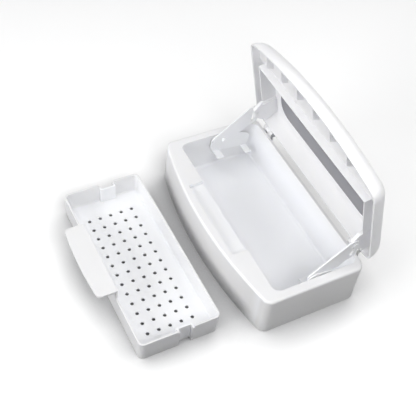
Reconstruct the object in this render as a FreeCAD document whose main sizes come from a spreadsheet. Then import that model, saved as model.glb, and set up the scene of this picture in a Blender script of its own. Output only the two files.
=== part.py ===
import FreeCAD, Part

import math
import os

import Sketcher
from FreeCAD import Placement, Rotation, Vector

# Salon tool disinfection box: a tub with a hinged lid, two lifting arms with
# tray carriers, and a perforated tray that lies beside it.
# Frame: millimetres, +Z up, origin at the centre of the tub's underside,
# +X along the box, -Y towards the curved front, +Y towards the hinges.

os.makedirs("parts", exist_ok=True)
doc = FreeCAD.newDocument("disinfection_box")

SIZES = [
    # tub
    ("box_length", 240.0),
    ("box_depth", 131.0),
    ("tub_height", 52.3),
    ("front_radius", 500.0),
    ("tub_corner", 9.0),
    ("rim_round", 2.6),
    ("rim_thick", 7.0),
    ("wall", 2.5),
    ("mouth_half", 110.0),
    ("mouth_front", 37.3),
    ("mouth_rear", 62.3),
    ("floor_half", 109.0),
    ("floor_front", 36.3),
    ("floor_rear", 57.0),
    ("floor_top", 6.0),
    ("relief_high", 18.0),
    ("floor_thick", 2.6),
    ("floor_round", 3.0),
    ("mouth_corner", 8.0),
    ("recess_half", 51.0),
    ("recess_front", 55.5),
    ("recess_deep", 4.4),
    ("recess_round", 3.0),
    # hinge
    ("hinge_back", 70.5),
    ("hinge_up", 54.0),
    ("open_angle", 76.8),
    ("knuckle", 4.0),
    ("knuckle_from", 83.0),
    ("knuckle_wide", 4.6),
    ("knuckle_gap", 0.4),
    ("lid_knuckle", 7.0),
    ("hinge_pin", 1.6),
    ("pin_play", 0.05),
    # lid
    ("lid_gap", 0.5),
    ("lid_high", 19.5),
    ("lid_wall", 2.2),
    ("lid_front", 70.5),
    ("lid_front_radius", 354.0),
    ("lid_corner", 13.0),
    ("baffle_half", 104.4),
    ("baffle_front", 24.5),
    ("pocket_deep", 8.0),
    ("gusset_first", -85.0),
    ("gusset_pitch", 31.0),
    ("lug_inner", 100.8),
    ("lug_thick", 4.0),
    ("window_half", 87.0),
    ("window_rear", 42.5),
    ("window_front", 17.5),
    ("window_corner", 14.0),
    ("window_thick", 1.6),
    # lifting arms and carriers
    ("arm_face", 105.1),
    ("arm_thick", 1.5),
    ("arm_pin_back", 54.3),
    ("arm_pin_up", 78.5),
    ("tip_back", 16.5),
    ("tip_up", 46.0),
    ("link_pin", 1.9),
    ("tip_pin", 1.5),
    ("slot_long", 13.0),
    ("slot_lean", 9.8),
    ("carrier_face", 106.9),
    ("carrier_thick", 1.4),
    ("carrier_tilt", 7.0),
    ("carrier_rear", 37.3),
    ("tab_inner", 93.0),
    ("tab_drop", 16.8),
    ("tab_thick", 1.6),
    # tray
    ("tray_length", 209.4),
    ("tray_depth", 89.4),
    ("tray_height", 27.4),
    ("tray_draft", 1.0),
    ("tray_wall", 1.9),
    ("tray_floor_top", 4.2),
    ("tray_floor_thick", 2.0),
    ("tray_corner", 6.0),
    ("tray_x", -5.4),
    ("tray_y", -134.5),
    ("notch_wide", 14.0),
    ("notch_deep", 5.0),
    ("notch_shift", 6.0),
    ("notch_drop", 2.6),
    ("hole_size", 4.0),
    ("hole_pitch_x", 13.1),
    ("hole_pitch_y", 12.66),
    ("hole_shift", 2.5),
    ("handle_half", 46.5),
    ("handle_reach", 21.8),
    ("handle_shift", -1.75),
    ("handle_bow", 430.0),
    ("handle_top", 41.5),
    ("handle_thick", 2.5),
]

sheet = doc.addObject("Spreadsheet::Sheet", "sizes")
for row, (name, value) in enumerate(SIZES, 1):
    sheet.set(f"A{row}", name)
    sheet.set(f"B{row}", str(value))
    sheet.setAlias(f"B{row}", name)
doc.recompute()


def size(name):
    """A driving dimension, read from the sheet."""
    return float(sheet.get(name))


# ---------------------------------------------------------------- helpers

def origin_plane(body, role):
    """One of a body's own origin planes, by its role."""
    return next(f for f in body.Origin.OriginFeatures if f.Role == role)


def new_body(name):
    """An empty PartDesign body with its own label."""
    body = doc.addObject("PartDesign::Body", name)
    body.Label = name
    return body


def new_sketch(body, name, role="XY_Plane", lift="0"):
    """A sketch on an origin plane, moved along the plane's normal."""
    sketch = body.newObject("Sketcher::SketchObject", name)
    sketch.AttachmentSupport = [(origin_plane(body, role), "")]
    sketch.MapMode = "FlatFace"
    sketch.setExpression("AttachmentOffset.Base.z", lift)
    return sketch


def fix_point(sketch, geo, pos, x, y):
    """Hold one point of a sketch at two expressions."""
    for kind, expression in (("DistanceX", x), ("DistanceY", y)):
        value = float(sketch.evalExpression(expression))
        index = sketch.addConstraint(Sketcher.Constraint(kind, -1, 1, geo, pos, value))
        sketch.setExpression(f"Constraints[{index}]", expression)


def add_polygon(sketch, corners):
    """A closed outline through corners, each a pair of expressions."""
    places = [Vector(float(sketch.evalExpression(x)), float(sketch.evalExpression(y)), 0)
              for x, y in corners]
    first = sketch.GeometryCount
    count = len(places)
    for i in range(count):
        sketch.addGeometry(Part.LineSegment(places[i], places[(i + 1) % count]), False)
    for i in range(count):
        nxt = first + (i + 1) % count
        sketch.addConstraint(Sketcher.Constraint("Coincident", first + i, 2, nxt, 1))
        fix_point(sketch, first + i, 1, *corners[i])


def add_rectangle(sketch, x0, x1, y0, y1):
    """A rectangle between four expressions."""
    add_polygon(sketch, [(x0, y0), (x1, y0), (x1, y1), (x0, y1)])


def add_circle(sketch, x, y, radius):
    """A circle whose centre and radius are expressions."""
    value = float(sketch.evalExpression(radius))
    centre = Vector(float(sketch.evalExpression(x)), float(sketch.evalExpression(y)), 0)
    geo = sketch.addGeometry(Part.Circle(centre, Vector(0, 0, 1), value), False)
    fix_point(sketch, geo, 3, x, y)
    index = sketch.addConstraint(Sketcher.Constraint("Radius", geo, value))
    sketch.setExpression(f"Constraints[{index}]", radius)


def add_bowed_outline(sketch, half, rear, front, radius):
    """Straight rear and ends, and one long arc for the front."""
    h, r, f, rad = [float(sketch.evalExpression(e)) for e in (half, rear, front, radius)]
    centre = Vector(0, rad - f, 0)
    end_y = centre.y - math.sqrt(rad * rad - h * h)
    first = sketch.GeometryCount
    swing = math.asin(h / rad)
    circle = Part.Circle(centre, Vector(0, 0, 1), rad)
    down = -math.pi / 2
    sketch.addGeometry(Part.ArcOfCircle(circle, down - swing, down + swing), False)
    sketch.addGeometry(Part.LineSegment(Vector(h, end_y, 0), Vector(h, r, 0)), False)
    sketch.addGeometry(Part.LineSegment(Vector(h, r, 0), Vector(-h, r, 0)), False)
    sketch.addGeometry(Part.LineSegment(Vector(-h, r, 0), Vector(-h, end_y, 0)), False)
    for a, a_pos, b, b_pos in ((0, 2, 1, 1), (1, 2, 2, 1), (2, 2, 3, 1), (3, 2, 0, 1)):
        sketch.addConstraint(Sketcher.Constraint("Coincident", first + a, a_pos, first + b, b_pos))
    fix_point(sketch, first + 1, 2, half, rear)
    fix_point(sketch, first + 2, 2, f"-({half})", rear)
    fix_point(sketch, first, 3, "0", f"{radius} - ({front})")
    sketch.addConstraint(Sketcher.Constraint("Vertical", first + 1))
    sketch.addConstraint(Sketcher.Constraint("Vertical", first + 3))


def pad(body, sketch, name, length, reverse=False, taper="0"):
    """Extrude a sketch by an expression."""
    feature = body.newObject("PartDesign::Pad", name)
    feature.Profile = sketch
    feature.Reversed = reverse
    feature.setExpression("Length", length)
    feature.setExpression("TaperAngle", taper)
    doc.recompute()
    return feature


def pocket(body, sketch, name, length, reverse=False, taper="0"):
    """Cut a sketch by an expression, and make sure that it cut something."""
    before = body.Shape.Volume
    feature = body.newObject("PartDesign::Pocket", name)
    feature.Profile = sketch
    feature.Reversed = reverse
    feature.setExpression("Length", length)
    feature.setExpression("TaperAngle", taper)
    doc.recompute()
    if body.Shape.Volume >= before - 0.01:
        raise RuntimeError(f"{name} removed nothing")
    return feature


def loft(body, kind, name, lower, upper):
    """A straight loft between two sketches."""
    feature = body.newObject(f"PartDesign::{kind}", name)
    feature.Profile = lower
    feature.Sections = [upper]
    feature.Ruled = True
    doc.recompute()
    return feature


def edge_names(shape, test):
    """Names of the edges that pass a test."""
    return [f"Edge{i}" for i, edge in enumerate(shape.Edges, 1) if test(edge)]


def fillet(body, name, radius, test):
    """Round the edges of a body that pass a test."""
    base = body.Tip
    names = edge_names(base.Shape, test)
    if not names:
        raise RuntimeError(f"{name} found no edge")
    feature = body.newObject("PartDesign::Fillet", name)
    feature.Base = (base, names)
    feature.setExpression("Radius", radius)
    doc.recompute()
    return feature


def is_upright(edge):
    """An edge that climbs mostly in Z."""
    box = edge.BoundBox
    return box.ZLength > 4 * max(box.XLength, box.YLength) and box.ZLength > 1


def along_x(edge):
    """A straight edge that runs along X only."""
    box = edge.BoundBox
    return box.YLength < 1e-6 and box.ZLength < 1e-6


def at_height(edge, z):
    """A level edge at height z."""
    box = edge.BoundBox
    return abs(box.ZMin - z) < 1e-4 and abs(box.ZMax - z) < 1e-4


# ---------------------------------------------------------------- tub

def make_tub():
    """Tub: an outer skirt, a wide flat rim, and an inner basin with sloping walls."""
    body = new_body("base_tub")
    outline = new_sketch(body, "tub_outline")
    add_bowed_outline(outline, "sizes.box_length / 2", "sizes.box_depth / 2",
                      "sizes.box_depth / 2", "sizes.front_radius")
    pad(body, outline, "tub_block", "sizes.tub_height")

    # the skirt is hollow from below, round a block that the basin is cut into
    hollow = new_sketch(body, "skirt_hollow_outline")
    add_bowed_outline(hollow, "sizes.box_length / 2 - sizes.wall",
                      "sizes.box_depth / 2 - 1.6",
                      "sizes.box_depth / 2 - sizes.wall", "sizes.front_radius - sizes.wall")
    pocket(body, hollow, "skirt_hollow", "sizes.tub_height - sizes.rim_thick", reverse=True)

    def skirt_corner(edge):
        reach = size("box_length") / 2 - size("wall")
        return is_upright(edge) and abs(abs(edge.BoundBox.Center.x) - reach) < 0.01
    fillet(body, "skirt_corners", "sizes.tub_corner - sizes.wall", skirt_corner)

    def outer_corner(edge):
        reach = size("box_length") / 2
        return is_upright(edge) and abs(abs(edge.BoundBox.Center.x) - reach) < 0.01
    fillet(body, "tub_corners", "sizes.tub_corner", outer_corner)
    top = size("tub_height")
    fillet(body, "rim_edge", "sizes.rim_round", lambda e: at_height(e, top))

    # the rim keeps its full width along the hinges
    rear = new_sketch(body, "rear_rim_outline", lift="sizes.tub_height")
    add_rectangle(rear, "-sizes.box_length / 2 + sizes.tub_corner",
                  "sizes.box_length / 2 - sizes.tub_corner",
                  "sizes.mouth_rear - 4", "sizes.box_depth / 2")
    pad(body, rear, "rear_rim", "sizes.rim_round + 0.5", reverse=True)

    def rear_edge(edge):
        return at_height(edge, top) and along_x(edge) and edge.BoundBox.Center.y > 65
    fillet(body, "rear_rim_edge", "0.5", rear_edge)
    block = new_sketch(body, "basin_block_outline")
    add_rectangle(block, "-sizes.mouth_half - sizes.wall", "sizes.mouth_half + sizes.wall",
                  "-sizes.mouth_front - sizes.wall", "sizes.mouth_rear + 2")
    pad(body, block, "basin_block", "sizes.tub_height - sizes.rim_thick + 1")
    # a slot from below keeps the double rear wall thin where it is widest
    relief = new_sketch(body, "rear_relief_outline")
    add_rectangle(relief, "-sizes.floor_half", "sizes.floor_half",
                  "sizes.mouth_rear - 1.6", "sizes.mouth_rear + 1.6")
    pocket(body, relief, "rear_relief", "sizes.relief_high", reverse=True)

    low = new_sketch(body, "basin_floor", lift="sizes.floor_top")
    add_rectangle(low, "-sizes.floor_half", "sizes.floor_half",
                  "-sizes.floor_front", "sizes.floor_rear")
    high = new_sketch(body, "basin_mouth", lift="sizes.tub_height")
    add_rectangle(high, "-sizes.mouth_half", "sizes.mouth_half",
                  "-sizes.mouth_front", "sizes.mouth_rear")
    loft(body, "SubtractiveLoft", "basin", low, high)

    def basin_corner(edge):
        box = edge.BoundBox
        inside = abs(box.Center.x) < size("mouth_half") and box.Center.y < size("mouth_rear")
        return box.ZLength > 40 and inside and abs(box.Center.y) < 61
    fillet(body, "basin_corners", "sizes.mouth_corner", basin_corner)
    floor = size("floor_top")
    fillet(body, "basin_floor_edge", "sizes.floor_round", lambda e: at_height(e, floor))

    recess = new_sketch(body, "handle_recess_outline", lift="sizes.tub_height")
    add_rectangle(recess, "-sizes.recess_half", "sizes.recess_half",
                  "-sizes.recess_front", "-sizes.mouth_front + 2")
    pocket(body, recess, "handle_recess", "sizes.recess_deep")

    def recess_corner(edge):
        box = edge.BoundBox
        short = abs(box.ZLength - size("recess_deep")) < 0.01
        return short and abs(abs(box.Center.x) - size("recess_half")) < 0.01
    fillet(body, "recess_corners", "sizes.recess_round", recess_corner)

    # six shallow panels leave a stiffening cross under the floor
    for column in (-1, 0, 1):
        for side in (-1, 1):
            tag = f"{column + 2}{'f' if side < 0 else 'r'}"
            panel = new_sketch(body, f"floor_panel_{tag}")
            x = f"{column} * sizes.floor_half * 2 / 3"
            half = "(sizes.floor_half / 3 - sizes.wall)"
            if side < 0:
                y0, y1 = "-sizes.floor_front + sizes.wall", "-sizes.wall / 2"
            else:
                y0, y1 = "sizes.wall / 2", "sizes.floor_rear - sizes.wall * 2"
            add_rectangle(panel, f"{x} - {half}", f"{x} + {half}", y0, y1)
            pocket(body, panel, f"floor_hollow_{tag}", "sizes.floor_top - sizes.floor_thick",
                   reverse=True)

    # two pairs of hinge knuckles on the rear wall, bored for their pins
    for side in (-1, 1):
        for index in (0, 1):
            name = f"{'left' if side < 0 else 'right'}_knuckle_{index + 1}"
            step = "(sizes.knuckle_wide + sizes.lid_knuckle + 2 * sizes.knuckle_gap)"
            start = f"(sizes.knuckle_from + {index} * {step})"
            lift = start if side > 0 else f"-{start} - sizes.knuckle_wide"
            web = new_sketch(body, f"{name}_web", "YZ_Plane", lift)
            add_rectangle(web, "sizes.box_depth / 2 - 1", "sizes.hinge_back",
                          "sizes.hinge_up - 12", "sizes.tub_height - 0.6")
            pad(body, web, f"{name}_web_pad", "sizes.knuckle_wide")
            barrel = new_sketch(body, f"{name}_barrel", "YZ_Plane", lift)
            add_circle(barrel, "sizes.hinge_back", "sizes.hinge_up", "sizes.knuckle")
            pad(body, barrel, f"{name}_barrel_pad", "sizes.knuckle_wide")
    bore = new_sketch(body, "hinge_bore_outline", "YZ_Plane", "-sizes.box_length / 2")
    add_circle(bore, "sizes.hinge_back", "sizes.hinge_up", "sizes.hinge_pin")
    pocket(body, bore, "hinge_bore", "sizes.box_length", reverse=True)
    return body


# ---------------------------------------------------------------- tray

def make_tray():
    """Perforated tray with a groove down each end and a flat handle on its front."""
    body = new_body("perforated_tray")
    low = new_sketch(body, "tray_foot")
    add_rectangle(low, "-sizes.tray_length / 2 + sizes.tray_draft",
                  "sizes.tray_length / 2 - sizes.tray_draft",
                  "-sizes.tray_depth / 2 + sizes.tray_draft",
                  "sizes.tray_depth / 2 - sizes.tray_draft")
    lean = "atan(sizes.tray_draft / sizes.tray_height)"
    pad(body, low, "tray_block", "sizes.tray_height", taper=lean)
    fillet(body, "tray_corners", "sizes.tray_corner", is_upright)

    mouth = new_sketch(body, "tray_mouth", lift="sizes.tray_height")
    add_rectangle(mouth, "-sizes.tray_length / 2 + sizes.tray_wall",
                  "sizes.tray_length / 2 - sizes.tray_wall",
                  "-sizes.tray_depth / 2 + sizes.tray_wall",
                  "sizes.tray_depth / 2 - sizes.tray_wall")
    pocket(body, mouth, "tray_hollow", "sizes.tray_height - sizes.tray_floor_top",
           taper=f"-{lean}")

    def inner_corner(edge):
        box = edge.BoundBox
        reach = size("tray_length") / 2 - size("tray_wall") - 0.6
        return is_upright(edge) and box.ZLength > 20 and abs(abs(box.Center.x) - reach) < 0.6
    fillet(body, "tray_inner_corners", "sizes.tray_corner - sizes.tray_wall", inner_corner)
    inside = size("tray_floor_top")
    fillet(body, "tray_floor_edge", "sizes.tray_wall", lambda e: at_height(e, inside))

    under = new_sketch(body, "tray_under")
    rim = "(sizes.tray_draft + 2 * sizes.tray_wall)"
    add_rectangle(under, f"-sizes.tray_length / 2 + {rim}", f"sizes.tray_length / 2 - {rim}",
                  f"-sizes.tray_depth / 2 + {rim}", f"sizes.tray_depth / 2 - {rim}")
    pocket(body, under, "tray_under_hollow", "sizes.tray_floor_top - sizes.tray_floor_thick",
           reverse=True)

    # a groove down each end wall clears the carrier pins
    for side in (-1, 1):
        tag = "left" if side < 0 else "right"
        outer = f"({side} * sizes.tray_length / 2)"
        y0 = "sizes.notch_shift - sizes.notch_wide / 2"
        y1 = "sizes.notch_shift + sizes.notch_wide / 2"
        inward = f"({outer} - {side} * (sizes.notch_deep + sizes.tray_wall))"
        boss = new_sketch(body, f"{tag}_notch_wall")
        ends = [inward, f"({outer} - {side} * sizes.tray_wall)"]
        ends = ends if side > 0 else ends[::-1]
        add_rectangle(boss, ends[0], ends[1], f"{y0} - sizes.tray_wall", f"{y1} + sizes.tray_wall")
        pad(body, boss, f"{tag}_notch_wall_pad", "sizes.tray_height - sizes.notch_drop")
        groove = new_sketch(body, f"{tag}_notch")
        ends = [f"({outer} - {side} * sizes.notch_deep)", f"({outer} + {side} * 1)"]
        ends = ends if side > 0 else ends[::-1]
        add_rectangle(groove, ends[0], ends[1], y0, y1)
        pocket(body, groove, f"{tag}_notch_cut", "sizes.tray_height + 1", reverse=True)
        step = new_sketch(body, f"{tag}_notch_top", lift="sizes.tray_height")
        ends = [f"({outer} - {side} * (sizes.notch_deep + sizes.tray_wall + 1))",
                f"({outer} + {side} * 1)"]
        ends = ends if side > 0 else ends[::-1]
        add_rectangle(step, ends[0], ends[1], f"{y0} - sizes.tray_wall", f"{y1} + sizes.tray_wall")
        pocket(body, step, f"{tag}_notch_top_cut", "sizes.notch_drop")

    # handle: the front wall is raised and turns outward into a flat plate
    stand = new_sketch(body, "handle_wall", lift="sizes.tray_height - 6")
    add_rectangle(stand, "-sizes.handle_half", "sizes.handle_half",
                  "-sizes.tray_depth / 2 + 0.1", "-sizes.tray_depth / 2 + sizes.tray_wall")
    plate = new_sketch(body, "handle_plate", lift="sizes.handle_top")
    add_bowed_outline(plate, "sizes.handle_half", "-sizes.tray_depth / 2 + sizes.tray_wall",
                      "sizes.tray_depth / 2 + sizes.handle_reach", "sizes.handle_bow")
    for sketch in (stand, plate):
        sketch.setExpression("AttachmentOffset.Base.x", "sizes.handle_shift")
    pad(body, stand, "handle_wall_pad", "sizes.handle_top - sizes.tray_height + 6")
    pad(body, plate, "handle_plate_pad", "sizes.handle_thick", reverse=True)

    def plate_corner(edge):
        box = edge.BoundBox
        short = abs(box.ZLength - size("handle_thick")) < 0.01
        return short and box.Center.y < -size("tray_depth") / 2 - 8
    fillet(body, "handle_corners", "5", plate_corner)

    hole = new_sketch(body, "hole_outline")
    add_circle(hole, "sizes.hole_shift - 6 * sizes.hole_pitch_x", "-2 * sizes.hole_pitch_y",
               "sizes.hole_size / 2")
    first = pocket(body, hole, "hole", "sizes.tray_floor_top + 1", reverse=True)
    grid = body.newObject("PartDesign::MultiTransform", "hole_grid")
    grid.Originals = [first]
    rows = []
    for name, axis, count, pitch in (("holes_along", "H_Axis", 13, "hole_pitch_x"),
                                     ("holes_across", "V_Axis", 5, "hole_pitch_y")):
        line = doc.addObject("PartDesign::LinearPattern", name)
        line.Direction = (hole, [axis])
        line.Occurrences = count
        line.setExpression("Length", f"sizes.{pitch} * {count - 1}")
        rows.append(line)
    grid.Transformations = rows
    body.Tip = grid
    doc.recompute()
    body.Placement = Placement(Vector(size("tray_x"), size("tray_y"), 0), Rotation())
    return body


# ---------------------------------------------------------------- lid

def bowed_wire(half, rear, front, radius, corner, z):
    """Closed outline with straight rear and ends, a bowed front and round corners."""
    centre_y = radius - front
    end_y = centre_y - math.sqrt(radius * radius - half * half)
    points = [Vector(-half, end_y, z), Vector(half, end_y, z),
              Vector(half, rear, z), Vector(-half, rear, z)]
    bow = Part.Arc(points[0], Vector(0, -front, z), points[1]).toShape()
    sides = [Part.LineSegment(points[i], points[(i + 1) % 4]).toShape() for i in (1, 2, 3)]
    face = Part.Face(Part.Wire([bow] + sides))
    solid = face.extrude(Vector(0, 0, 1))
    upright = [e for e in solid.Edges if e.BoundBox.ZLength > 0.5]
    rounded = solid.makeFillet(corner, upright)
    low = min(rounded.Faces, key=lambda f: f.CenterOfMass.z)
    return low.OuterWire


def pillow(half, rear, front, radius, corner, base, height, inset_top):
    """Crowned lid body: stacked outlines that draw in towards a flat-topped crown."""
    steps = 7
    wires = []
    for i in range(steps):
        turn = math.radians(90 * i / (steps - 1))
        inset = inset_top * (1 - math.cos(turn))
        level = base + height * math.sin(turn)
        wires.append(bowed_wire(half - inset, rear - inset * 0.7, front - inset,
                                radius - inset, corner, level))
    return Part.makeLoft(wires, True, False)


def open_lid():
    """Placement that swings a closed lid part open about the hinge."""
    return Placement(Vector(0, 0, 0), Rotation(Vector(1, 0, 0), -size("open_angle")),
                     Vector(0, size("hinge_back"), size("hinge_up")))


def box(x0, x1, y0, y1, z0, z1):
    """A plain block between six planes."""
    return Part.makeBox(x1 - x0, y1 - y0, z1 - z0, Vector(x0, y0, z0))


def x_prism(points, x0, x1):
    """A plate of constant section: (y, z) points swept from x0 to x1."""
    wire = Part.makePolygon([Vector(x0, y, z) for y, z in points + points[:1]])
    return Part.Face(wire).extrude(Vector(x1 - x0, 0, 0))


def lid_pin_place():
    """Where the arm pins sit in the closed lid: (y, z)."""
    dy = size("arm_pin_back") - size("hinge_back")
    dz = size("arm_pin_up") - size("hinge_up")
    a = math.radians(size("open_angle"))
    return (size("hinge_back") + dy * math.cos(a) - dz * math.sin(a),
            size("hinge_up") + dy * math.sin(a) + dz * math.cos(a))


def make_lid():
    """Lid: a crowned shell with a window, an inner baffle, front gussets and arm lugs."""
    half = size("box_length") / 2
    rear = size("box_depth") / 2
    rim = size("tub_height") + size("lid_gap")
    wall = size("lid_wall")
    high = size("lid_high")
    front = size("lid_front")
    bow = size("lid_front_radius")
    corner = size("lid_corner")
    outer = pillow(half, rear, front, bow, corner, rim, high, 15.0)
    inner = pillow(half - wall, rear - wall, front - wall, bow - wall, corner - wall,
                   rim - 1, high + 1 - wall, 13.6)
    shell = outer.cut(inner)
    ceiling = rim + high - wall

    # baffle wall round the mouth of the tub, open at the rear
    b_half = size("baffle_half")
    b_front = -size("baffle_front")
    blocks = [box(-b_half, b_half, b_front - 1.6, b_front, rim, ceiling + 1)]
    for side in (-1, 1):
        x = side * b_half
        blocks.append(box(min(x, x - side * 1.6), max(x, x - side * 1.6),
                          b_front - 1.6, rear - wall / 2, rim, ceiling + 1))

    # triangular gussets between the front wall and the pocket floor
    pocket_floor = rim + size("pocket_deep")
    blocks.append(box(-half, half, -front, b_front, pocket_floor, pocket_floor + 1.6))
    for index in range(6):
        x = size("gusset_first") + index * size("gusset_pitch")
        edge = bow - front - math.sqrt(bow * bow - x * x) + wall * 0.7
        points = [(edge, rim + 0.6), (edge + 18, rim + 0.6),
                  (edge + 23, pocket_floor + 0.5), (edge, pocket_floor + 0.5)]
        blocks.append(x_prism(points, x - 1.0, x + 1.0))

    # lugs that carry the arm pins, hanging below the rim at each end
    pin_y, pin_z = lid_pin_place()
    for side in (-1, 1):
        x0, x1 = sorted((side * size("lug_inner"), side * (size("lug_inner") + size("lug_thick"))))
        lug = [(pin_y - 12.4, ceiling + 1), (pin_y - 12.4, rim - 3), (pin_y - 4.4, pin_z - 4),
               (pin_y + 5.5, pin_z - 4), (pin_y + 13.5, rim - 4), (pin_y + 13.5, ceiling + 1)]
        blocks.append(x_prism(lug, x0, x1))
        web = [(pin_y - 11, rim - 2), (pin_y - 11, ceiling + 1), (pin_y + 8, rim + 7)]
        x0, x1 = sorted((side * (size("lug_inner") - 1.4), side * (size("lug_inner") + 1)))
        blocks.append(x_prism(web, x0, x1))

    # hinge knuckles, one between each pair on the tub
    hy, hz = size("hinge_back"), size("hinge_up")
    start = size("knuckle_from") + size("knuckle_wide") + size("knuckle_gap")
    for side in (-1, 1):
        x0, x1 = sorted((side * start, side * (start + size("lid_knuckle"))))
        blocks.append(box(x0, x1, rear - wall / 2, hy, hz, hz + 8.5))
        blocks.append(Part.makeCylinder(size("knuckle"), x1 - x0, Vector(x0, hy, hz),
                                        Vector(1, 0, 0)))

    trimmed = []
    for block in blocks[:-4]:
        below = block.common(box(-half, half, -front - 5, rear, rim - 12, rim + 0.01))
        trimmed.append(block.common(outer).fuse(below))
    solid = shell.multiFuse(trimmed + blocks[-4:]).removeSplitter()

    bores = [Part.makeCylinder(size("hinge_pin") + size("pin_play"), 2 * half,
                               Vector(-half, hy, hz), Vector(1, 0, 0)),
             Part.makeCylinder(size("link_pin") + size("pin_play"), 2 * half,
                               Vector(-half, pin_y, pin_z), Vector(1, 0, 0)),
             window_block(0.0, rim, rim + high + 5),
             window_block(2.0, rim + wall * 2, ceiling + wall / 2)]
    for bore in bores:
        solid = solid.cut(bore)
    return add_solid("lid_shell", max(solid.Solids, key=lambda s: s.Volume), open_lid())


def add_solid(name, shape, place):
    """A document object that holds a finished solid."""
    part = doc.addObject("Part::Feature", name)
    part.Label = name
    part.Shape = shape
    part.Placement = place
    return part


def make_window():
    """Smoky pane that sits in a rebate on the inner side of the lid."""
    top = size("tub_height") + size("lid_gap") + size("lid_high") - size("lid_wall") / 2
    pane = window_block(1.95, top - size("window_thick"), top)
    return add_solid("lid_window", pane, open_lid())


def window_block(grow, z0, z1):
    """A block with the window's outline, wider by grow on every side."""
    half = size("window_half") + grow
    y0 = -size("window_front") - grow
    y1 = size("window_rear") + grow
    block = box(-half, half, y0, y1, z0, z1)
    upright = [e for e in block.Edges if e.BoundBox.ZLength > 1]
    return block.makeFillet(size("window_corner") + grow, upright)


# ---------------------------------------------------------------- linkage

def make_pin(name, x0, x1, y, z, radius, heads):
    """A round pin along X with heads, each head a start, an end and a radius."""
    body = new_body(name)
    for index, (a, b, r) in enumerate([(x0, x1, radius)] + heads):
        lift = min(a, b, key=lambda e: float(sheet.evalExpression(e)))
        far = b if lift == a else a
        disc = new_sketch(body, f"{name}_round_{index}", "YZ_Plane", lift)
        add_circle(disc, y, z, r)
        pad(body, disc, f"{name}_length_{index}", f"({far}) - ({lift})")
    return body


ARM_OUTLINE = [(-13, 5), (30, 38.5), (36, 40), (41, 38.5), (41.8, 16), (37, 13.5), (32, 12),
               (24, 6), (16, 1), (7, -2.5), (1, -7), (-8, -6.5), (-12.5, -1)]
CARRIER_OUTLINE = [(-14, -11.5), (-9.5, -18.4), (33, -18.4), (37.3, -14.5), (37.3, -2.5),
                   (33, 1.5), (12, 6.5), (-5, 7), (-11, 4), (-14, -1)]


def plate_body(name, side, face, thick, outline):
    """A plate of constant thickness at one end of the box, around the tip pin."""
    body = new_body(name)
    lift = face if side > 0 else f"-{face} - {thick}"
    sketch = new_sketch(body, f"{name}_outline", "YZ_Plane", lift)
    add_polygon(sketch, [(f"sizes.tip_back + ({y})", f"sizes.tip_up + ({z})")
                         for y, z in outline])
    pad(body, sketch, f"{name}_plate", thick)
    return body


def cut_round(body, name, y, z, radius):
    """A round hole right through, along X."""
    sketch = new_sketch(body, f"{name}_outline", "YZ_Plane", "-sizes.box_length / 2")
    add_circle(sketch, y, z, radius)
    pocket(body, sketch, name, "sizes.box_length", reverse=True)


def make_arm(tag, side):
    """Lifting arm: a leaf-shaped plate with a slot at its upper end."""
    name = f"{tag}_lift_arm"
    body = plate_body(name, side, "sizes.arm_face", "sizes.arm_thick", ARM_OUTLINE)

    def arm_corner(edge):
        return along_x(edge) and edge.BoundBox.Center.y > size("tip_back") + 30
    fillet(body, f"{name}_upper_corners", "1.2", arm_corner)
    tip = size("tip_back") + 7.5
    fillet(body, f"{name}_tip_corners", "4",
           lambda e: along_x(e) and e.BoundBox.Center.y < tip)
    y, z = "sizes.arm_pin_back", "sizes.arm_pin_up"
    run = ("sizes.slot_long * sin(sizes.slot_lean)", "sizes.slot_long * cos(sizes.slot_lean)")
    half = "(sizes.link_pin + 0.1)"
    across = (f"{half} * cos(sizes.slot_lean)", f"{half} * sin(sizes.slot_lean)")
    slot = new_sketch(body, f"{name}_slot_outline", "YZ_Plane", "-sizes.box_length / 2")
    add_polygon(slot, [(f"{y} - {across[0]}", f"{z} + {across[1]}"),
                       (f"{y} + {across[0]}", f"{z} - {across[1]}"),
                       (f"{y} - {run[0]} + {across[0]}", f"{z} - {run[1]} - {across[1]}"),
                       (f"{y} - {run[0]} - {across[0]}", f"{z} - {run[1]} + {across[1]}")])
    pocket(body, slot, f"{name}_slot", "sizes.box_length", reverse=True)
    cut_round(body, f"{name}_slot_top", y, z, half)
    cut_round(body, f"{name}_slot_end", f"{y} - {run[0]}", f"{z} - {run[1]}", half)
    cut_round(body, f"{name}_tip_hole", "sizes.tip_back", "sizes.tip_up", "sizes.tip_pin")
    return body


def make_carrier(tag, side):
    """Tray carrier: a hanging plate with two tabs turned in under the tray."""
    name = f"{tag}_tray_carrier"
    body = plate_body(name, side, "sizes.carrier_face", "sizes.carrier_thick", CARRIER_OUTLINE)
    fillet(body, f"{name}_corners", "2.0", along_x)
    for index, (front, rear) in enumerate(((-10, -1), (28, 35.5)), 1):
        tab = new_sketch(body, f"{name}_tab_{index}_outline",
                         lift="sizes.tip_up - sizes.tab_drop - sizes.tab_thick")
        ends = ["sizes.tab_inner", "sizes.carrier_face + sizes.carrier_thick"]
        if side < 0:
            ends = [f"-({e})" for e in ends[::-1]]
        add_rectangle(tab, ends[0], ends[1], f"sizes.tip_back + ({front})",
                      f"sizes.tip_back + ({rear})")
        pad(body, tab, f"{name}_tab_{index}", "sizes.tab_thick")
    hole = "sizes.tip_pin + sizes.pin_play"
    cut_round(body, f"{name}_hole", "sizes.tip_back", "sizes.tip_up", hole)
    centre = Vector(0, size("tip_back"), size("tip_up"))
    turn = Rotation(Vector(1, 0, 0), -size("carrier_tilt"))
    body.Placement = Placement(Vector(0, 0, 0), turn, centre)
    return body


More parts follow.
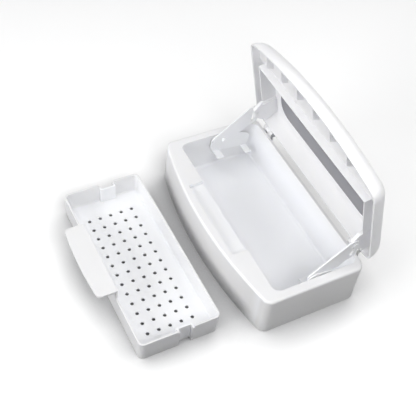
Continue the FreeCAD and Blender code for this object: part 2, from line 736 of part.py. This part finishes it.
def make_links(tag, side):
    """Pins, arm and carrier at one end of the box."""
    sign = "" if side > 0 else "-"
    start = f"{sign}(sizes.knuckle_from - 0.8)"
    step = "2 * sizes.knuckle_wide + sizes.lid_knuckle + 2 * sizes.knuckle_gap"
    end = f"{sign}(sizes.knuckle_from + {step})"
    head = f"{sign}(sizes.knuckle_from - 0.0)"
    hinge = make_pin(f"{tag}_hinge_pin", start, end, "sizes.hinge_back", "sizes.hinge_up",
                     "sizes.hinge_pin", [(start, head, "sizes.knuckle - 1")])
    face = "sizes.arm_face + sizes.arm_thick"
    arm_pin = make_pin(f"{tag}_arm_pin", f"{sign}(sizes.lug_inner + 0.7)",
                       f"{sign}({face} + 0.15)", "sizes.arm_pin_back", "sizes.arm_pin_up",
                       "sizes.link_pin",
                       [(f"{sign}({face} + 0.15)", f"{sign}({face} + 1.3)",
                         "sizes.link_pin + 1.3")])
    far = "sizes.carrier_face + sizes.carrier_thick"
    tip_pin = make_pin(f"{tag}_carrier_pin", f"{sign}(sizes.arm_face - 0.1)",
                       f"{sign}({far} + 0.3)", "sizes.tip_back", "sizes.tip_up",
                       "sizes.tip_pin",
                       [(f"{sign}(sizes.arm_face - 3.4)", f"{sign}(sizes.arm_face)", "2.5"),
                        (f"{sign}({far} + 0.3)", f"{sign}({far} + 0.7)", "2.4")])
    return [hinge, arm_pin, tip_pin, make_arm(tag, side), make_carrier(tag, side)]


# ---------------------------------------------------------------- build and export

parts = [make_tub(), make_tray(), make_lid(), make_window()]
parts += make_links("left", -1) + make_links("right", 1)
doc.recompute()
for item in doc.Objects:
    if "Invalid" in item.State or "Error" in item.State:
        raise RuntimeError(f"{item.Name} is {item.State}")
for part in parts:
    if part.Shape.isNull() or not part.Shape.isValid() or len(part.Shape.Solids) != 1:
        raise RuntimeError(f"{part.Label} has no single sound solid")
    part.Shape.exportStep(f"parts/{part.Label}.step")
    print(part.Label, round(part.Shape.Volume))
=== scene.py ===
# %% [markdown]
# # A salon tool disinfection box
# The real object is a white moulded box for soaking nail tools. It has a tub, a hinged lid
# with a smoky window, two arms that lift a pair of tray carriers when the lid opens, and a
# loose tray with a grid of drain holes. The shapes come from the CAD frame, in metres, so
# this lesson is about finishes, light and the camera.

# %% Load the frame
import math

import bpy
from mathutils import Matrix, Vector

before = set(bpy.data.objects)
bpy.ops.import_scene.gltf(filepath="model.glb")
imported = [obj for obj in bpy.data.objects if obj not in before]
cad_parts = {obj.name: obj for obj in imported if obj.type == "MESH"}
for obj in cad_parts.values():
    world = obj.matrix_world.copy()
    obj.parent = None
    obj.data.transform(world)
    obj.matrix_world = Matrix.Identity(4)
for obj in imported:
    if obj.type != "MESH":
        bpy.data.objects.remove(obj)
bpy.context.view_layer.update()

MM = 0.001

# %% [markdown]
# ## Colours
# A paint chart gives colours as sRGB hex, but light adds up in linear values. One function
# turns the first into the second, so that every colour below can be read as hex.

# %% Colours from hex


def linear(hex_colour):
    """Linear red, green, blue and alpha from a colour written as sRGB hex."""
    values = [int(hex_colour[i:i + 2], 16) / 255 for i in (1, 3, 5)]
    curve = [v / 12.92 if v <= 0.04045 else ((v + 0.055) / 1.055) ** 2.4 for v in values]
    return (*curve, 1.0)


print("mid grey in linear values:", round(linear("#808080")[0], 3))

# %% [markdown]
# ## Nodes
# A material is a small graph. Writing it by hand takes many lines, so one function adds a
# node, sets its sockets and properties, and links its inputs. A Mix node that mixes colours
# has its factor, two colours and result at fixed places among its sockets, so those places
# get names here.

# %% One function for every node
FACTOR, COLOUR_A, COLOUR_B, MIXED = 0, 6, 7, 2


def add_node(material, kind, values=None, links=None, **properties):
    """Adds a node: properties by name, sockets by name or index, and links into sockets."""
    node = material.node_tree.nodes.new(kind)
    for name, value in properties.items():
        setattr(node, name, value)
    for socket, value in (values or {}).items():
        node.inputs[socket].default_value = value
    for socket, source in (links or {}).items():
        material.node_tree.links.new(source, node.inputs[socket])
    return node


def start_material(name, **sockets):
    """A new material and its main shader, with plain values set on the shader itself."""
    material = bpy.data.materials.new(name)
    material.use_nodes = True
    shader = material.node_tree.nodes["Principled BSDF"]
    for socket, value in sockets.items():
        shader.inputs[socket.replace("_", " ")].default_value = value
    return material, shader


def spots_per_metre(size_mm):
    """Noise scale that gives spots of about this size."""
    return 1.0 / (size_mm * MM)


print("a 0.7 mm grain needs a noise scale of", round(spots_per_metre(0.7)))

# %% [markdown]
# ## Moulded plastic
# The tub, lid and tray are injection-moulded ABS, a white plastic with an IOR of about 1.54.
# The mould was spark-eroded, so the skin is satin, with a grain of a few tenths of a
# millimetre. It is drawn at 0.7 mm, coarser than the real one, and even so it only shows
# close up. Under the skin the plastic scatters light for a few millimetres, which softens
# the shadows in the corners, and slow cooling leaves faint broad patches, about 45 mm
# across, in the tone and the gloss.

# %% Moulded plastic
PLASTIC_IOR = 1.54
COOLING_PATCH_MM = 45
GLOSS_DRIFT = 0.06
GRAIN_DEPTH_MM = 0.03


def moulded_plastic(name, pale, deep, roughness=0.40, scatter_mm=4.0, grain_mm=0.7):
    """Moulded plastic with its shader, and the link that carries its drifting tone."""
    material, shader = start_material(
        name, IOR=PLASTIC_IOR, Subsurface_Weight=0.3, Subsurface_Radius=(1.0, 1.0, 1.15),
        Subsurface_Scale=scatter_mm * MM)
    place = add_node(material, "ShaderNodeTexCoord").outputs["Object"]
    drift = add_node(material, "ShaderNodeTexNoise",
                     {"Scale": spots_per_metre(COOLING_PATCH_MM)}, {"Vector": place})
    tone = add_node(material, "ShaderNodeMix",
                    {COLOUR_A: linear(deep), COLOUR_B: linear(pale)},
                    {FACTOR: drift.outputs["Fac"]}, data_type="RGBA").outputs[MIXED]
    gloss = add_node(material, "ShaderNodeMapRange",
                     {"To Min": roughness - GLOSS_DRIFT, "To Max": roughness + GLOSS_DRIFT},
                     {"Value": drift.outputs["Fac"]})
    grain = add_node(material, "ShaderNodeTexNoise",
                     {"Scale": spots_per_metre(grain_mm), "Detail": 3.0}, {"Vector": place})
    skin = add_node(material, "ShaderNodeBump",
                    {"Strength": 0.25, "Distance": GRAIN_DEPTH_MM * MM},
                    {"Height": grain.outputs["Fac"]})
    join = material.node_tree.links.new
    join(tone, shader.inputs["Base Color"])
    join(gloss.outputs["Result"], shader.inputs["Roughness"])
    join(skin.outputs["Normal"], shader.inputs["Normal"])
    return material, shader, tone


lid_abs = moulded_plastic("white_abs_lid", "#F6F6F8", "#F2F2F4")[0]
print("made", lid_abs.name)

# %% [markdown]
# ## Painted light inside
# Inside the tub and the tray, light bounces from wall to wall and picks up the faint blue
# of the plastic's brightener each time, so the inside looks a little cooler and lighter.
# That light is painted into the colour: the inner faces get a lighter, cooler white, as
# painted light. The tints were matched to the look of the object, not taken from a paint
# chart. A box-shaped mask in the part's own coordinates marks the inner faces, and moves
# with it.

# %% Tub and tray plastic
PAINTED_LIGHT_FADE = 0.04


def painted_light_mask(material, low, high):
    """1 inside the box between two corners in millimetres, fading to 0 at its sides; it
    marks where light is painted.
    """
    middle = [(a + b) / 2 * MM for a, b in zip(low, high)]
    half = [(b - a) / 2 * MM for a, b in zip(low, high)]
    place = add_node(material, "ShaderNodeTexCoord").outputs["Object"]
    offset = add_node(material, "ShaderNodeVectorMath", {1: middle}, {0: place},
                      operation="SUBTRACT").outputs[0]
    distance = add_node(material, "ShaderNodeVectorMath", links={0: offset},
                        operation="ABSOLUTE").outputs[0]
    share = add_node(material, "ShaderNodeVectorMath", {1: half}, {0: distance},
                     operation="DIVIDE").outputs[0]
    x, y, z = add_node(material, "ShaderNodeSeparateXYZ", links={0: share}).outputs
    across = add_node(material, "ShaderNodeMath", links={0: x, 1: y},
                      operation="MAXIMUM").outputs[0]
    widest = add_node(material, "ShaderNodeMath", links={0: across, 1: z},
                      operation="MAXIMUM").outputs[0]
    return add_node(material, "ShaderNodeMapRange",
                    {"From Min": 1.0, "From Max": 1.0 - PAINTED_LIGHT_FADE,
                     "To Min": 0.0, "To Max": 1.0},
                    {"Value": widest}).outputs["Result"]


def abs_with_painted_inner_light(name, low, high, pale, deep, inner_painted_light):
    """White ABS, painted a lighter and cooler white inside a box, as painted light."""
    material, shader, tone = moulded_plastic(name, pale, deep)
    painted_light_share = painted_light_mask(material, low, high)
    # Painted light: the inner faces take the lighter, cooler white.
    tone_with_painted_light = add_node(material, "ShaderNodeMix", {COLOUR_B: linear(inner_painted_light)},
                     {FACTOR: painted_light_share, COLOUR_A: tone}, data_type="RGBA")
    material.node_tree.links.new(tone_with_painted_light.outputs[MIXED], shader.inputs["Base Color"])
    return material


# Painted shade: the tub's outer tones are set greyer than the lid's, though it is the same
# ABS; its inner tone is painted light.
tub_abs_painted_light_shade = abs_with_painted_inner_light("white_abs_tub_painted_light_shade", (-111, -56, 3), (111, 62.8, 52.2),
                       "#E8E8E9", "#E5E5E6", "#F1F2F5")
# Painted shade: the tray's tones are set greyer than the lid's, though it is the same ABS;
# its inner tone is painted light.
tray_abs_painted_light_shade = abs_with_painted_inner_light("white_abs_tray_painted_light_shade", (-108.5, -177.5, 3), (97.5, -91.5, 27.3),
                        "#E2E2E3", "#DFDFE0", "#EEEFF2")
print("made", tub_abs_painted_light_shade.name, "and", tray_abs_painted_light_shade.name)

# %% [markdown]
# ## The small links
# The arms, carriers and their pins are thin polypropylene, a waxier white plastic. It is
# moulded in a polished tool, so it is smoother than the tub, with a softer, wider grain.
# It borrows the ABS's IOR of 1.54, a little above polypropylene's own 1.49.

# %% Links
link_pp = moulded_plastic("white_polypropylene", "#F3F4F6", "#F0F1F3",
                          roughness=0.34, scatter_mm=2.0, grain_mm=1.0)[0]
print("made", link_pp.name)

# %% [markdown]
# ## The smoky window
# The pane is cast acrylic with a grey dye, IOR 1.49. It is glossy on both faces, and it
# lets some of the light from behind come through. A thin pane needs no bent rays, so
# alpha does the work of the dye. Wiping it leaves faint streaks along the pane, 1.5 mm
# apart, which break up the gloss.

# %% Smoked acrylic
smoked_acrylic, shader = start_material("smoked_acrylic", IOR=1.49, Alpha=0.82,
                                        Base_Color=linear("#8C8C92"))
place = add_node(smoked_acrylic, "ShaderNodeTexCoord").outputs["Object"]
stretched = add_node(smoked_acrylic, "ShaderNodeMapping", {"Scale": (0.08, 1.0, 1.0)},
                     {"Vector": place})
wipes = add_node(smoked_acrylic, "ShaderNodeTexNoise", {"Scale": spots_per_metre(1.5)},
                 {"Vector": stretched.outputs["Vector"]})
haze = add_node(smoked_acrylic, "ShaderNodeMapRange", {"To Min": 0.08, "To Max": 0.22},
                {"Value": wipes.outputs["Fac"]})
smoked_acrylic.node_tree.links.new(haze.outputs["Result"], shader.inputs["Roughness"])
print("made", smoked_acrylic.name)

# %% [markdown]
# ## Steel wire
# The hinge pins are cut from drawn steel wire. Drawing leaves fine lines along the wire,
# so the noise is stretched along X, the way the pins lie.

# %% Drawn steel
drawn_steel, shader = start_material("drawn_steel_wire", Metallic=1.0,
                                     Base_Color=linear("#A9ABAF"))
place = add_node(drawn_steel, "ShaderNodeTexCoord").outputs["Object"]
stretched = add_node(drawn_steel, "ShaderNodeMapping", {"Scale": (0.05, 1.0, 1.0)},
                     {"Vector": place})
lines = add_node(drawn_steel, "ShaderNodeTexNoise", {"Scale": spots_per_metre(0.4)},
                 {"Vector": stretched.outputs["Vector"]})
sheen = add_node(drawn_steel, "ShaderNodeMapRange", {"To Min": 0.25, "To Max": 0.5},
                 {"Value": lines.outputs["Fac"]})
drawn_steel.node_tree.links.new(sheen.outputs["Result"], shader.inputs["Roughness"])
print("made", drawn_steel.name)

# %% [markdown]
# ## Which piece gets which finish
# Every CAD node keeps its shape and takes one material. The table reads like a parts list,
# and whatever it leaves out is one of the small links.

# %% Assign the finishes
FINISHES = {
    "base_tub": tub_abs_painted_light_shade,
    "perforated_tray": tray_abs_painted_light_shade,
    "lid_shell": lid_abs,
    "lid_window": smoked_acrylic,
    "left_hinge_pin": drawn_steel,
    "right_hinge_pin": drawn_steel,
}
for name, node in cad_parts.items():
    node.data.materials.clear()
    node.data.materials.append(FINISHES.get(name, link_pp))
print("finished", len(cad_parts), "nodes")

# %% [markdown]
# ## The table
# The box stands on white paper, which only needs to be matt and wide. Paper in a corner
# sees little of the room; that shade is painted into the paper's colour, which turns dark
# grey where something stands within about 40 mm of it. White paper would also throw a lot
# of light up at the walls of the box, more than a darker table does, so its bounce onto
# other things is switched off.

# %% Paper floor
FLOOR_WIDTH, FLOOR_DROP_MM = 8.0, 0.2
PAINTED_SHADE_REACH_MM = 42
bpy.ops.mesh.primitive_plane_add(size=FLOOR_WIDTH, location=(0, 0, -FLOOR_DROP_MM * MM))
floor = bpy.context.object
floor.name = "paper_floor"
paper_with_painted_shade, shader = start_material("white_paper_painted_shade", Roughness=0.9, IOR=1.5)
# Painted shade: ambient occlusion darkens the paper's colour near the box.
painted_shade_occlusion = add_node(paper_with_painted_shade, "ShaderNodeAmbientOcclusion", {"Distance": PAINTED_SHADE_REACH_MM * MM},
                   samples=12)
paper_painted_shade_tone = add_node(paper_with_painted_shade, "ShaderNodeMix",
                      {COLOUR_A: linear("#595A5E"), COLOUR_B: linear("#FCFCFC")},
                      {FACTOR: painted_shade_occlusion.outputs["AO"]}, data_type="RGBA")
paper_with_painted_shade.node_tree.links.new(paper_painted_shade_tone.outputs[MIXED], shader.inputs["Base Color"])
floor.data.materials.append(paper_with_painted_shade)
floor.visible_diffuse = False
print("floor is", floor.dimensions.x, "m wide")

# %% [markdown]
# ## The camera
# The camera looks down from the front right with a long lens, and is rolled a little. Its
# three axes are built from those angles, and they are the columns of its matrix.

# %% Camera
AZIMUTH, ELEVATION, ROLL = (math.radians(v) for v in (57.03, 49.733, 8.018))
AIM = Vector((-48.65, -28.05, 4.2)) * MM
DISTANCE = 957.5 * MM
backward = Vector((math.sin(AZIMUTH) * math.cos(ELEVATION),
                   -math.cos(AZIMUTH) * math.cos(ELEVATION), math.sin(ELEVATION)))
level = Vector((0, 0, 1)).cross(backward).normalized()
above = backward.cross(level)
rightward = level * math.cos(ROLL) + above * math.sin(ROLL)
upward = above * math.cos(ROLL) - level * math.sin(ROLL)

lens = bpy.data.cameras.new("studio_camera")
lens.lens = 72.2
lens.sensor_width = 36.0
lens.clip_end = 20.0
camera = bpy.data.objects.new("studio_camera", lens)
turn = Matrix((rightward, upward, backward)).transposed().to_4x4()
camera.matrix_world = Matrix.Translation(AIM + backward * DISTANCE) @ turn
bpy.context.scene.collection.objects.link(camera)
bpy.context.scene.camera = camera
print("camera is", round(DISTANCE, 3), "m from what it looks at")

# %% [markdown]
# ## The light
# White plastic on white paper needs uneven light, or its edges vanish. Round softboxes of
# one size stand about the box. The ones in front and on the right carry most of the light:
# they fill the inner walls and pick out the lid's edge. The ones behind only lift the
# floor. The room itself is nearly dark, so the outer end walls stay grey.

# %% Softboxes
CENTRE = (-0.03, 0.0, 0.05)
SOFTBOX_WIDTH = 0.9
SOFTBOXES = {
    "overhead_softbox": ((-0.45, -0.45, 1.2), 4.2),
    "top_softbox": ((0.0, 0.0, 1.4), 1.3),
    "front_left_softbox": ((-0.7, -1.2, 0.6), 2.5),
    "front_softbox": ((0.1, -1.3, 0.5), 11.8),
    "right_softbox": ((0.8, -0.2, 1.1), 9.0),
    "back_left_softbox": ((-0.5, 0.8, 1.0), 5.1),
    "back_right_softbox": ((0.6, 0.6, 0.9), 3.3),
}
for name, (place, watts) in SOFTBOXES.items():
    light = bpy.data.lights.new(name, "AREA")
    light.shape = "DISK"
    light.size = SOFTBOX_WIDTH
    light.energy = watts
    stand = bpy.data.objects.new(name, light)
    stand.location = place
    facing = Vector(CENTRE) - Vector(place)
    stand.rotation_euler = facing.to_track_quat("-Z", "Y").to_euler()
    bpy.context.scene.collection.objects.link(stand)

room = bpy.data.worlds.new("dim_studio")
room.use_nodes = True
room.node_tree.nodes["Background"].inputs["Color"].default_value = linear("#F4F7FF")
room.node_tree.nodes["Background"].inputs["Strength"].default_value = 0.02
bpy.context.scene.world = room
bpy.context.scene.view_settings.view_transform = "Standard"
print("lights:", len(SOFTBOXES), "with", round(sum(w for _, w in SOFTBOXES.values()), 1),
      "watts")
